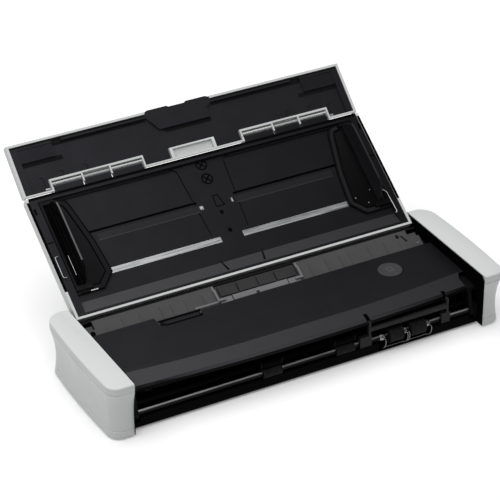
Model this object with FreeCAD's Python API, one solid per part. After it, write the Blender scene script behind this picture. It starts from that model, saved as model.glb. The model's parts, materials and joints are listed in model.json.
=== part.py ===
import FreeCAD, Part
import math
import os

# Sheet fed document scanner, opened for use: feed tray and paper flap up, top unit closed.
# Millimetres, +Z up, front towards -Y, origin on the floor below the middle of the base.

Vec = FreeCAD.Vector
OUT = "parts"
os.makedirs(OUT, exist_ok=True)

# ---- driving dimensions -------------------------------------------------------------
WIDTH = 285.0
DEPTH = 95.0
HEIGHT = 39.0
FOOT_H = 1.0
INNER_X = 125.0
COVER_X = 124.7
FRONT = -DEPTH / 2
REAR = DEPTH / 2

CAP_WALL = 1.8
CAP_FOOT_TOP = 5.8
CAP_SIDE_TOP = 33.9
WAIST_Z = 15.5
WAIST = 2.4
SEAM = 0.35

FLOOR_T = 1.6
LIP_FRONT = -40.6
LIP_TOP = 8.6
PLATE_X0 = 122.6
PLATE_X1 = 124.6

MODULE = 0.6
GEAR_X0 = -133.0
GEAR_X1 = -129.0
SHAFT_END = 124.4
FIT = 0.05

EJECT = (-37.3, 10.4)
REGISTER = (0.0, 10.2)
FEED = (18.6, 15.7)
MOTOR_DIRECTION = -10.6
TEETH = {"register": 22, "eject": 14, "feed": 38, "large": 52, "small": 12, "motor": 12}

DECK_TOP = [(33.6, 34.52), (8.0, 20.26), (0.0, 15.6), (-5.4, 14.0)]
PATH_GAP = 1.72
PINCH = (0.0, 19.2)

TRAY_ANGLE = 34.1
TRAY_ORIGIN = (37.2, 35.96)
TRAY_X = 123.0
TRAY_END = 88.0
TRAY_T = 6.6
TRAY_AXIS = (4.5, -3.33)
PANEL = -2.5
FLAP_ANGLE = 42.6
FLAP_AXIS = (91.9, -2.4)
FLAP_TOP = 33.8
FLAP_LIP = -2.6
FLAP_HALF = 2.4
NOTCH = (37.0, 101.5)
RIB_X = (60.0, 80.0)

GUIDE_X = 108.0
PINION_S = 54.0
PINION_TEETH = 20
RACK_N = (-4.9, -4.0)

# ---- shape helpers ------------------------------------------------------------------


def box(x0, x1, y0, y1, z0, z1):
    return Part.makeBox(x1 - x0, y1 - y0, z1 - z0, Vec(x0, y0, z0))


def rod(x0, x1, centre, radius):
    """Cylinder along X about the (y, z) centre."""
    return Part.makeCylinder(radius, x1 - x0, Vec(x0, centre[0], centre[1]), Vec(1, 0, 0))


def tube(x0, x1, centre, outer, inner):
    return rod(x0, x1, centre, outer).cut(rod(x0 - 1, x1 + 1, centre, inner))


def post(x, y, z0, z1, radius):
    return Part.makeCylinder(radius, z1 - z0, Vec(x, y, z0), Vec(0, 0, 1))


def profile(points, x0, x1):
    """Prism along X from a closed list of (y, z) points."""
    ring = [Vec(x0, y, z) for y, z in points]
    face = Part.Face(Part.makePolygon(ring + ring[:1]))
    return face.extrude(Vec(x1 - x0, 0, 0))


def plan(points, z0, z1):
    """Prism along Z from a closed list of (x, y) points."""
    ring = [Vec(x, y, z0) for x, y in points]
    face = Part.Face(Part.makePolygon(ring + ring[:1]))
    return face.extrude(Vec(0, 0, z1 - z0))


def join(*shapes):
    whole = shapes[0]
    if len(shapes) > 1:
        whole = whole.fuse(list(shapes[1:])).removeSplitter()
    return whole


def mirrored(shape):
    return shape.mirror(Vec(0, 0, 0), Vec(1, 0, 0))


def both(shape):
    """The shape and its mirror image across the middle plane."""
    return [shape, mirrored(shape)]


def save(node, *shapes):
    solids = [solid for shape in shapes for solid in shape.Solids]
    whole = solids[0] if len(solids) == 1 else Part.makeCompound(solids)
    whole.exportStep(os.path.join(OUT, node + ".step"))
    print(node, len(solids), round(whole.Volume), whole.isValid())


def rotated(shape, angle, origin):
    """Turns a shape made in a local (x, s, n) frame about X and moves it to the (y, z) origin."""
    placed = shape.copy()
    turn = FreeCAD.Rotation(Vec(1, 0, 0), angle)
    placed.Placement = FreeCAD.Placement(Vec(0, origin[0], origin[1]), turn)
    return placed


def tray_point(s, n):
    angle = math.radians(TRAY_ANGLE)
    y = TRAY_ORIGIN[0] + s * math.cos(angle) - n * math.sin(angle)
    z = TRAY_ORIGIN[1] + s * math.sin(angle) + n * math.cos(angle)
    return (y, z)


def in_tray(shape):
    return rotated(shape, TRAY_ANGLE, TRAY_ORIGIN)


def in_flap(shape):
    return rotated(shape, FLAP_ANGLE, tray_point(*FLAP_AXIS))


HINGE = tray_point(*TRAY_AXIS)

# ---- gears --------------------------------------------------------------------------


def pitch_radius(teeth):
    return teeth * MODULE / 2


def involute(angle):
    return math.tan(angle) - angle


def tooth_ring(teeth, phase):
    """Outline of a spur gear as (u, v) points; a tooth points at the phase angle."""
    pitch = pitch_radius(teeth)
    base = pitch * math.cos(math.radians(20))
    root = pitch - 1.2 * MODULE
    tip = pitch + 0.9 * MODULE
    start = max(root, base)
    backlash = 0.06 / pitch
    half = math.pi / (2 * teeth) - backlash + involute(math.radians(20))
    radii = [start + (tip - start) * k / 4 for k in range(5)]
    flank = [(r, half - involute(math.acos(min(1, base / r)))) for r in radii]
    if root < start:
        flank = [(root, flank[0][1])] + flank
    points = []
    for k in range(teeth):
        middle = phase + 2 * math.pi * k / teeth
        rising = [(r, middle - a) for r, a in flank]
        falling = [(r, middle + a) for r, a in reversed(flank)]
        points += [(r * math.cos(a), r * math.sin(a)) for r, a in rising + falling]
    return points


def gear(teeth, centre, phase, bore, x0=GEAR_X0, x1=GEAR_X1):
    ring = [(centre[0] + u, centre[1] + v) for u, v in tooth_ring(teeth, phase)]
    return profile(ring, x0, x1).cut(rod(x0 - 1, x1 + 1, centre, bore))


def mesh_centre(a, teeth_a, b, teeth_b, teeth):
    """Centre of an idler that meshes with gears at a and b, on the upper side of the line a-b."""
    ra = pitch_radius(teeth_a) + pitch_radius(teeth)
    rb = pitch_radius(teeth_b) + pitch_radius(teeth)
    dy = b[0] - a[0]
    dz = b[1] - a[1]
    gap = math.hypot(dy, dz)
    along = (ra ** 2 - rb ** 2 + gap ** 2) / (2 * gap)
    across = math.sqrt(ra ** 2 - along ** 2)
    return (a[0] + along * dy / gap - across * dz / gap, a[1] + along * dz / gap + across * dy / gap)


def mesh_phase(a, teeth_a, phase_a, b, teeth_b):
    """Phase that puts a gap of gear b opposite a tooth of gear a."""
    line = math.atan2(b[1] - a[1], b[0] - a[0])
    step_a = 2 * math.pi / teeth_a
    step_b = 2 * math.pi / teeth_b
    return line + math.pi - step_b * (0.5 - (line - phase_a) / step_a)


LARGE = mesh_centre(EJECT, TEETH["eject"], REGISTER, TEETH["register"], TEETH["large"])
SMALL = mesh_centre(REGISTER, TEETH["register"], FEED, TEETH["feed"], TEETH["small"])
MOTOR_GAP = pitch_radius(TEETH["feed"]) + pitch_radius(TEETH["motor"])
MOTOR = (
    FEED[0] + MOTOR_GAP * math.cos(math.radians(MOTOR_DIRECTION)),
    FEED[1] + MOTOR_GAP * math.sin(math.radians(MOTOR_DIRECTION)),
)
PHASE = {"register": 0.0}
TRAIN = [
    ("register", REGISTER, "large", LARGE),
    ("large", LARGE, "eject", EJECT),
    ("register", REGISTER, "small", SMALL),
    ("small", SMALL, "feed", FEED),
    ("feed", FEED, "motor", MOTOR),
]
for first, first_at, second, second_at in TRAIN:
    PHASE[second] = mesh_phase(first_at, TEETH[first], PHASE[first], second_at, TEETH[second])

# ---- end caps -----------------------------------------------------------------------


def waist(z):
    """How far the side of an end cap stands in at height z."""
    if z >= WAIST_Z:
        return WAIST * max(0.0, 1 - ((z - WAIST_Z) / (CAP_SIDE_TOP - WAIST_Z)) ** 2)
    return WAIST - 1.1 * ((WAIST_Z - z) / (WAIST_Z - FOOT_H)) ** 2


def cap_wire(z, inset, inner_x):
    front = FRONT + inset
    rear = REAR - inset
    side = WIDTH / 2 - inset

    def at(x, y):
        return Vec(x, y, z)

    edges = [
        Part.makeLine(at(inner_x, front), at(side - 8.5, front)),
        Part.Arc(at(side - 8.5, front), at(side - 3.4, front + 2.4), at(side - 1.0, front + 8.0)).toShape(),
        Part.Arc(at(side - 1.0, front + 8.0), at(side, -8.0), at(side - 1.3, rear - 12.0)).toShape(),
        Part.Arc(at(side - 1.3, rear - 12.0), at(side - 3.9, rear - 4.0), at(side - 9.5, rear)).toShape(),
        Part.makeLine(at(side - 9.5, rear), at(inner_x, rear)),
        Part.makeLine(at(inner_x, rear), at(inner_x, front)),
    ]
    return Part.Wire(edges)


def cap_block(levels, inner_x=INNER_X):
    wires = [cap_wire(z, inset, inner_x) for z, inset in levels]
    return Part.makeLoft(wires, True, True)


def seam_levels(low, high, steps):
    """Outline levels of a cap piece, pulled in a little at the seam on each end."""
    levels = [(low, waist(low) + SEAM)]
    for k in range(steps + 1):
        z = low + 0.5 + (high - low - 1.0) * k / steps
        levels.append((z, waist(z)))
    levels.append((high, waist(high) + SEAM))
    return levels


def cap_cavity(low, high):
    levels = [(z, waist(z) + CAP_WALL) for z in (low, (low + high) / 2, high)]
    return cap_block(levels, INNER_X + CAP_WALL)


def end_caps():
    side_z = seam_levels(CAP_FOOT_TOP, CAP_SIDE_TOP, 9)
    side = cap_block(side_z)
    hollow = cap_block([(z, inset + CAP_WALL) for z, inset in side_z], INNER_X + CAP_WALL)
    side = side.cut(hollow)
    foot = cap_block(
        [(FOOT_H, waist(FOOT_H) + 0.9), (FOOT_H + 0.6, waist(FOOT_H + 0.6))]
        + seam_levels(CAP_FOOT_TOP - 1.5, CAP_FOOT_TOP, 1)[2:]
    )
    foot = foot.cut(cap_cavity(FOOT_H + CAP_WALL, CAP_FOOT_TOP))
    top = cap_block(
        [(CAP_SIDE_TOP, SEAM), (CAP_SIDE_TOP + 0.5, 0.0), (HEIGHT - 1.2, 0.0)]
        + [(HEIGHT - 0.7, 0.18), (HEIGHT - 0.3, 0.5), (HEIGHT, 1.1)]
    )
    top = top.cut(cap_cavity(CAP_SIDE_TOP, HEIGHT - CAP_WALL))
    top = top.cut(rod(INNER_X - 1, INNER_X + CAP_WALL, HINGE, 1.5))
    save("cap_tops", *both(top))
    save("cap_feet", *both(foot))
    save("right_cap_side", side)
    left_side = mirrored(side)
    bores = ((EJECT, 2.3), (REGISTER, 2.3), (FEED, 2.8), (LARGE, 1.5), (SMALL, 1.5), (MOTOR, 1.3))
    for centre, radius in bores:
        left_side = left_side.cut(rod(-INNER_X - CAP_WALL - 0.5, -INNER_X + 1, centre, radius))
    save("left_cap_side", left_side)


# ---- base ---------------------------------------------------------------------------

SCREWS = [(x, y) for x in (-100.0, 0.0, 100.0) for y in (-29.5, 42.2)]
FEET = [(x, y) for x in (-114.0, 114.0) for y in (-30.0, 36.0)] + [(0.0, 0.0)]


def base_covers():
    top = FOOT_H + FLOOR_T
    floor = box(-INNER_X, INNER_X, LIP_FRONT + 1.0, REAR - 0.2, FOOT_H, top)
    lip = profile(
        [(LIP_FRONT + 1.0, FOOT_H), (LIP_FRONT, FOOT_H + 1.4), (LIP_FRONT, LIP_TOP - 0.6)]
        + [(LIP_FRONT + 0.5, LIP_TOP), (LIP_FRONT + 1.4, LIP_TOP)]
        + [(LIP_FRONT + 1.4, top), (LIP_FRONT + 1.4, FOOT_H)],
        -INNER_X, INNER_X)
    cover = join(floor, lip)
    cover = cover.cut(box(50.5, 90.5, LIP_FRONT - 1, LIP_FRONT + 3, top + 0.2, LIP_TOP + 1))
    cover = cover.cut(both(box(118.5, 126.0, LIP_FRONT - 1, LIP_FRONT + 3, 5.4, LIP_TOP + 1)))
    cover = cover.cut(both(rod(17.8, 34.7, EJECT, 4.0)))
    for x, y in SCREWS:
        cover = cover.cut([post(x, y, FOOT_H - 1, FOOT_H + 0.7, 3.2), post(x, y, FOOT_H, top + 1, 1.4)])
    for row in range(7):
        x = 30.0 + 7.0 * row
        cover = cover.cut(box(x, x + 2.4, 8.0, 32.0, FOOT_H - 1, top + 1))
    save("bottom_cover", cover)
    save("rubber_feet", *[post(x, y, 0.0, FOOT_H, 4.5) for x, y in FEET])
    heads = [post(x, y, FOOT_H + 0.1, FOOT_H + 0.7, 2.9) for x, y in SCREWS]
    screws = [head.fuse(post(x, y, FOOT_H + 0.7, 5.0, 1.4)) for head, (x, y) in zip(heads, SCREWS)]
    save("bottom_screws", *screws)

    wall = box(-COVER_X, COVER_X, REAR - 2.0, REAR - 0.2, top, 30.2)
    trough = tube(-COVER_X, COVER_X, HINGE, 7.2, 6.0)
    sector = [(HINGE[0], HINGE[1])]
    for degrees in (215, 245, 275, 305):
        turn = math.radians(degrees)
        sector.append((HINGE[0] + 12 * math.cos(turn), HINGE[1] + 12 * math.sin(turn)))
    trough = trough.common(profile(sector, -COVER_X, COVER_X))
    rear = join(wall, trough)
    rear = rear.cut(box(85.8, 95.2, 44, 49, 4.8, 8.4))
    rear = rear.cut(Part.makeCylinder(3.2, 6, Vec(74.0, 43, 8.4), Vec(0, 1, 0)))
    for row in range(12):
        x = -86.0 + 5.0 * row
        rear = rear.cut(box(x, x + 2.2, 44, 49, 10.0, 22.0))
    save("rear_cover", rear)
    board = box(-85.0, 118.0, 7.0, 38.8, 3.4, 5.0)
    chips = [box(40, 56, 16, 30, 5.0, 6.4), box(-60, -48, 14, 26, 5.0, 6.4), box(66, 74, 12, 20, 5.0, 6.2)]
    chips += [box(100 + 5 * k, 103 + 5 * k, 14, 17, 5.0, 7.0) for k in range(3)]
    save("main_board", join(board, *chips))
    usb = box(86.0, 95.0, 38.0, REAR - 0.3, 5.0, 8.2).cut(box(87.0, 94.0, 40.0, REAR, 5.8, 7.4))
    save("usb_socket", usb)
    jack = Part.makeCylinder(3.1, 9.2, Vec(74.0, 38.0, 8.4), Vec(0, 1, 0))
    jack = jack.cut(Part.makeCylinder(2.2, 8.0, Vec(74.0, 40.0, 8.4), Vec(0, 1, 0)))
    contact = Part.makeCylinder(0.6, 8.0, Vec(74, 38.5, 8.4), Vec(0, 1, 0))
    jack = join(jack, box(71.5, 76.5, 38.0, 44.0, 5.0, 6.2), contact)
    save("power_jack", jack)


def lower_frame():
    holes = [(EJECT, 2.8), (REGISTER, 3.2), (FEED, 3.6)]
    outline = [(-39.1, 2.6), (44.5, 2.6), (44.5, 26.0), (36.0, 30.0)]
    outline += [(-12.0, 23.0), (-27.0, 23.0), (-30.0, 15.0)]
    outline += [(-40.4, 15.0), (-40.4, 5.5), (-39.1, 5.5)]
    plate = profile(outline, PLATE_X0, PLATE_X1)
    side = plate.cut([rod(PLATE_X0 - 1, PLATE_X1 + 1, centre, radius) for centre, radius in holes])
    left = mirrored(side)
    left = left.cut([rod(-126, -121, LARGE, 1.5), rod(-126, -121, SMALL, 1.5), rod(-126, -121, MOTOR, 4.2)])
    front_bar = box(-PLATE_X0, PLATE_X0, -33.0, -26.0, 2.6, 5.6)
    exit_wall = box(-PLATE_X0, PLATE_X0, -30.5, -28.5, 5.6, 12.2)
    exit_guide = profile([(-33.0, 12.2), (-24.5, 12.2), (-24.5, 14.0), (-31.5, 14.0), (-33.0, 13.0)],
                         -PLATE_X0, PLATE_X0)
    rear_bar = box(-PLATE_X0, PLATE_X0, 39.5, 44.5, 2.6, 4.6)
    beams = [front_bar, exit_wall, exit_guide, rear_bar]
    frame = join(side, left, *beams)
    frame = frame.cut([post(x, y, 2.0, 5.0, 1.4) for x, y in SCREWS])
    frame = frame.cut(box(-85.5, 118.5, 39.0, 39.6, 2.0, 6.0))
    frame = frame.cut(rod(56.5, 87.0, EJECT, 5.9))
    save("lower_frame", frame)
    bushes = []
    for centre, outer, bore in ((EJECT, 2.8, 2.0), (REGISTER, 3.2, 2.0), (FEED, 3.6, 2.5)):
        bushes += both(tube(119.2, PLATE_X1, centre, outer, bore + FIT))
    save("shaft_bushes", *bushes)
    axles = [rod(-134.0, -PLATE_X0, centre, 1.5) for centre in (LARGE, SMALL)]
    save("idler_axles", *axles)
    can = tube(-121.0, -96.0, MOTOR, 9.0, 1.0 + FIT)
    can = join(can, tube(-PLATE_X0, -121.0, MOTOR, 4.2, 1.0 + FIT))
    save("drive_motor", can)


def deck_z(y):
    """Height of the paper path surface at depth y."""
    points = sorted(DECK_TOP)
    for (y0, z0), (y1, z1) in zip(points, points[1:]):
        if y0 <= y <= y1:
            return z0 + (z1 - z0) * (y - y0) / (y1 - y0)
    return points[0][1] if y < points[0][0] else points[-1][1]


def slope_bar(x0, x1, y0, y1, low, high):
    """Bar that lies along the sloping deck between two heights above its surface."""
    ends = [(y0, deck_z(y0) + low), (y1, deck_z(y1) + low), (y1, deck_z(y1) + high), (y0, deck_z(y0) + high)]
    return profile(ends, x0, x1)


def feed_deck():
    under = [(y, z - 2.0) for y, z in reversed(DECK_TOP)]
    deck = profile(DECK_TOP + under, -122.5, 122.5)
    ribs = []
    for x in (39.0, 51.5, 61.5, 69.0, 84.0, 96.0, 107.0):
        rib_end = 27.4 if x > 100 else 30.2
        ribs += both(slope_bar(x - 0.5, x + 0.5, 9.0, rib_end, -0.5, 0.5))
    deck = join(deck, *ribs)
    deck = deck.cut([box(-29.6, 29.6, 21.0, 34.0, 10.0, 40.0), box(-18.0, 18.0, 7.0, 22.0, 8.0, 40.0)])
    for x in (-88.5, -44.5, 27.5, 71.5):
        deck = deck.cut(box(x, x + 17.0, -5.6, 6.4, 8.0, 30.0))
    deck = deck.cut(both(box(114.9, 123.0, 28.3, 40.0, 20.0, 40.0)))
    deck = deck.cut(post(-117.4, 25.8, 20.0, 40.0, 1.1))
    slot = plan([(109.2, 31.0), (111.0, 31.0), (113.4, 26.6), (111.6, 26.2)], 20.0, 40.0)
    deck = deck.cut([post(107.4, 31.0, 20.0, 40.0, 1.4), slot])
    save("feed_deck", deck)
    housing = slope_bar(-29.2, 29.2, 24.6, 33.4, -2.6, -0.9)
    blocks = []
    for x0, x1 in ((-27.4, -14.8), (-13.6, -1.2), (0.8, 12.6), (14.0, 27.4)):
        blocks.append(slope_bar(x0, x1, 25.4, 32.0, -1.2, 0.7))
    rail = slope_bar(-29.2, 29.2, 24.6, 26.0, -2.6, -0.2)
    save("separation_housing", join(housing, rail, *blocks))
    left_plate = slope_bar(-29.2, -20.6, 21.2, 24.5, -2.0, 0.6)
    plate = slope_bar(-20.0, 20.0, 21.2, 24.5, -2.0, 0.9).cut(box(-3.6, -1.4, 20.0, 22.6, 20.0, 40.0))
    right_plate = slope_bar(20.6, 29.2, 21.2, 24.5, -2.0, 0.6)
    arm = slope_bar(29.7, 31.2, 22.0, 29.8, 0.0, 1.9).fuse(slope_bar(29.7, 31.2, 29.8, 33.0, 0.0, 0.5))
    foot = slope_bar(25.6, 29.7, 22.0, 23.4, 1.0, 1.9)
    brackets = both(join(arm, foot))
    brackets[1] = join(brackets[1], slope_bar(-47.5, -31.2, 22.0, 23.2, 0.0, 0.9).cut(deck))
    save("paper_entry_plates", left_plate, plate, right_plate, *brackets)


def sensors():
    save("lower_sensor", box(-112, 112, -24.0, -6.4, 4.0, 12.9))
    save("lower_glass", box(-112, 112, -23.6, -6.4, 12.9, 14.0))
    save("upper_sensor", box(-112, 112, -24.0, -8.0, 16.8, 25.0))
    save("upper_glass", box(-111, 111, -23.2, -8.8, 15.8, 16.8))


# ---- shafts, rollers and gears ------------------------------------------------------


def drive_train():
    save("register_shaft", rod(-134.0, SHAFT_END, REGISTER, 2.0))
    spans = ((-88.0, -72.0), (-44.0, -28.0), (28.0, 44.0), (72.0, 88.0))
    save("register_rollers", *[tube(x0, x1, REGISTER, 5.5, 2.0) for x0, x1 in spans])
    save("register_gear", gear(TEETH["register"], REGISTER, PHASE["register"], 2.0))
    save("eject_shaft", rod(-134.0, SHAFT_END, EJECT, 2.0))
    save("eject_rollers", *both(tube(19.5, 33.0, EJECT, 3.6, 2.0)))
    save("card_rollers", tube(58.0, 68.6, EJECT, 5.4, 2.0), tube(73.8, 85.4, EJECT, 5.4, 2.0))
    bosses = [tube(x - 0.9, x + 0.9, EJECT, 3.4, 2.0) for x in (53.5, 70.2, 87.2)]
    save("card_roller_bosses", *bosses)
    save("eject_gear", gear(TEETH["eject"], EJECT, PHASE["eject"], 2.0))
    save("feed_shaft", rod(-134.0, SHAFT_END, FEED, 2.5))
    save("feed_roller", tube(-16.0, -2.0, FEED, 9.5, 2.5), tube(2.0, 16.0, FEED, 9.5, 2.5))
    save("feed_gear", gear(TEETH["feed"], FEED, PHASE["feed"], 2.5))
    save("large_idler_gear", gear(TEETH["large"], LARGE, PHASE["large"], 1.5 + FIT))
    save("small_idler_gear", gear(TEETH["small"], SMALL, PHASE["small"], 1.5 + FIT))
    pinion = gear(TEETH["motor"], MOTOR, PHASE["motor"], 0.9)
    save("motor_pinion", join(pinion, rod(-134.0, -97.0, MOTOR, 1.0)))


def card_parts():
    front = LIP_FRONT
    rail = box(43.5, 101.5, front, front + 2.2, 19.0, 22.0)
    arms = [box(x - 0.8, x + 0.8, front, front + 2.4, 8.6, 26.2) for x in (43.5, 101.5)]
    feet = [box(x0, x1, front, front + 3.0, LIP_TOP, 16.0) for x0, x1 in ((36.6, 45.0), (97.2, 103.8))]
    shaft_room = rod(30.0, 110.0, EJECT, 2.5)
    save("card_guide", join(rail, *(arms + feet)).cut(shaft_room))
    wires = []
    for x0, x1 in ((52.4, 69.2), (71.4, 88.6)):
        loop = tube(x0, x1, EJECT, 6.5, 5.7)
        sector = [(EJECT[0], EJECT[1])]
        for degrees in (100, 140, 180, 220, 262):
            turn = math.radians(degrees)
            sector.append((EJECT[0] + 12 * math.cos(turn), EJECT[1] + 12 * math.sin(turn)))
        loop = loop.common(profile(sector, x0, x1))
        legs = [box(x0, x0 + 0.8, -46, -30, 0, 30), box(x1 - 0.8, x1, -46, -30, 0, 30)]
        across = box(x0, x1, -46.0, -42.0, 9.0, 10.2)
        wires.append(loop.common(join(legs[0], legs[1], across)))
    stands = []
    for x0, x1 in ((52.4, 69.2), (71.4, 88.6)):
        for x in (x0, x1 - 0.8):
            stands.append(box(x, x + 0.8, -38.6, -37.8, 2.6, 4.6))
    whole = [wires[0].fuse(stands[:2]), wires[1].fuse(stands[2:])]
    save("card_wire_guards", *whole)


# ---- top unit -----------------------------------------------------------------------


def cover_section(x):
    """Closed section of the top cover's skin at x."""
    bow = (x / 119.0) ** 2
    bevel = -28.0 + 5.7 * bow
    edge = -37.6 + 3.1 * bow
    front = -41.0 + 5.0 * bow
    outer = [(22.3, 31.4), (-20.0, 30.55), (bevel, 30.3), (edge, 27.6)]
    outer += [((edge + front) / 2 - 0.5, 26.4), (front, 24.7)]
    inner = [(front + 1.7, 24.7), (edge + 0.9, 25.9), (bevel + 0.8, 28.4), (-18.0, 28.6), (22.3, 29.5)]
    ring = [Vec(x, y, z) for y, z in outer + inner]
    return Part.makePolygon(ring + ring[:1])


def top_unit():
    stations = [COVER_X * k / 6 for k in range(-6, 7)]
    cover = Part.makeLoft([cover_section(x) for x in stations], True, True)
    cover = cover.cut(box(-48.0, 130.0, 17.3, 30.0, 20.0, 40.0))
    finger = plan([(-77.0, 30.0), (-77.0, 14.2), (-75.5, 12.0), (-72.5, 11.2), (-48.0, 11.2), (-46.0, 17.3),
                   (-46.0, 30.0)], 20.0, 40.0)
    cover = cover.cut(finger)
    corner = [(118.5, -50.0), (118.5, -27.0), (121.0, -22.5), (130.0, -22.5), (130.0, -50.0)]
    corner = plan(corner, 20.0, 40.0)
    cover = cover.cut(both(corner))
    for x in (43.5, 101.5):
        cover = cover.cut(box(x - 1.3, x + 1.3, -45.0, -33.6, 20.0, 40.0))
    cover = cover.cut(post(83.4, 0.9, 25.0, 40.0, 8.5))
    save("top_cover", cover)
    save("start_button", post(83.4, 0.9, 28.0, 31.25, 8.2))

    rear = [(16.8, deck_z(16.8) + PATH_GAP), (8.0, 20.26 + PATH_GAP), (0.0, 15.6 + PATH_GAP)]
    rear += [(-5.0, 16.2), (-25.9, 16.2)]
    lid = [(-25.9, 26.9), (-21.0, 28.1), (-18.0, 28.4), (16.8, 29.2)]
    block = profile(rear + lid, -118.4, 118.4)
    hollow = profile([(15.2, 28.0), (8.0, 24.2), (0.0, 19.4), (-5.0, 18.0), (-24.3, 18.0)]
                     + [(-24.3, 32.0), (15.2, 32.0)],
                     -116.8, 116.8)
    block = block.cut(hollow)
    ribs = []
    for x in (-60.0, -20.0, 20.0, 60.0):
        web = [(15.2, 28.0), (8.0, 24.2), (4.6, 22.2), (4.6, 28.0), (15.2, 28.9)]
        ribs.append(profile(web, x - 0.8, x + 0.8))
    block = join(block, *ribs)
    block = block.cut(box(-112.0, 112.0, -24.0, -8.0, 15.0, 24.0))
    spans = ((-89.0, -71.0), (-45.0, -27.0), (27.0, 45.0), (71.0, 89.0))
    for x0, x1 in spans:
        block = block.cut(box(x0, x1, -3.6, 3.6, 15.0, 22.8))
        cheek = [(-3.6, 17.5), (2.2, 17.5), (3.6, 18.4), (3.6, 21.5), (-3.6, 21.5)]
        walls = [profile(cheek, x0 - 1.2, x0), profile(cheek, x1, x1 + 1.2)]
        block = join(block, *walls)
        block = block.cut(rod(x0 - 2, x1 + 2, PINCH, 1.0 + FIT))
    handle = [(-75.6, 16.4), (-75.6, 14.7), (-74.5, 13.1), (-72.2, 12.4), (-49.0, 12.4), (-47.6, 16.4)]
    block = join(block, plan(handle, 28.6, 30.8))
    wedge = [(-36.5, 24.6), (-22.6, 24.6), (-22.6, 27.5), (-34.0, 27.5), (-36.5, 26.4)]
    corners = both(profile(wedge, 118.6, 124.4))
    links = both(box(116.8, 119.6, -26.0, -22.6, 18.0, 27.0))
    arm = profile([(-40.2, 10.4), (-34.4, 10.4), (-27.0, 24.6), (-36.5, 24.6)], 119.4, 121.9)
    arm = join(arm, rod(119.4, 121.9, EJECT, 3.6)).cut(rod(119.0, 122.5, EJECT, 2.8 + FIT))
    block = join(block, *(corners + links + both(arm)))
    idler = (EJECT[0], EJECT[1] + 3.6 + 0.3 + 2.4)
    for x in (18.5, 33.2):
        hanger = profile([(idler[0] - 1.6, 15.4), (idler[0] + 1.8, 15.4), (-25.9, 17.6), (-25.9, 21.0),
                          (idler[0] - 1.6, 18.6)], x, x + 1.0)
        block = join(block, *both(hanger))
    block = block.cut(both(rod(18.0, 35.0, idler, 0.8 + FIT)))
    save("top_frame", block)
    pinches = [join(rod(x0 - 1.2, x1 + 1.2, PINCH, 1.0), rod(x0 + 1, x1 - 1, PINCH, 3.0)) for x0, x1 in spans]
    save("pinch_rollers", *pinches)
    save("eject_idlers", *both(join(rod(18.5, 34.2, idler, 0.8), rod(19.8, 32.9, idler, 2.4))))
    save("separation_pad", slope_bar(-9.0, 9.0, 9.5, 16.6, 0.95, PATH_GAP))
    save("button_switch", box(80.4, 86.4, -2.0, 4.0, 22.2, 26.9))


# ---- tray ---------------------------------------------------------------------------


def rounded_tray_block():
    """Outer block of the tray shell with its two outer edges rounded."""
    def at(s, n):
        return Vec(-TRAY_X, s, n)

    edges = [
        Part.makeLine(at(0, 0), at(TRAY_END, 0)),
        Part.makeLine(at(TRAY_END, 0), at(TRAY_END, -4.6)),
        Part.Arc(at(TRAY_END, -4.6), at(TRAY_END - 0.6, -6.0), at(TRAY_END - 2.0, -TRAY_T)).toShape(),
        Part.makeLine(at(TRAY_END - 2.0, -TRAY_T), at(3.0, -TRAY_T)),
        Part.Arc(at(3.0, -TRAY_T), at(0.88, -5.72), at(0, -3.6)).toShape(),
        Part.makeLine(at(0, -3.6), at(0, 0)),
    ]
    return Part.Face(Part.Wire(edges)).extrude(Vec(2 * TRAY_X, 0, 0))


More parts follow.
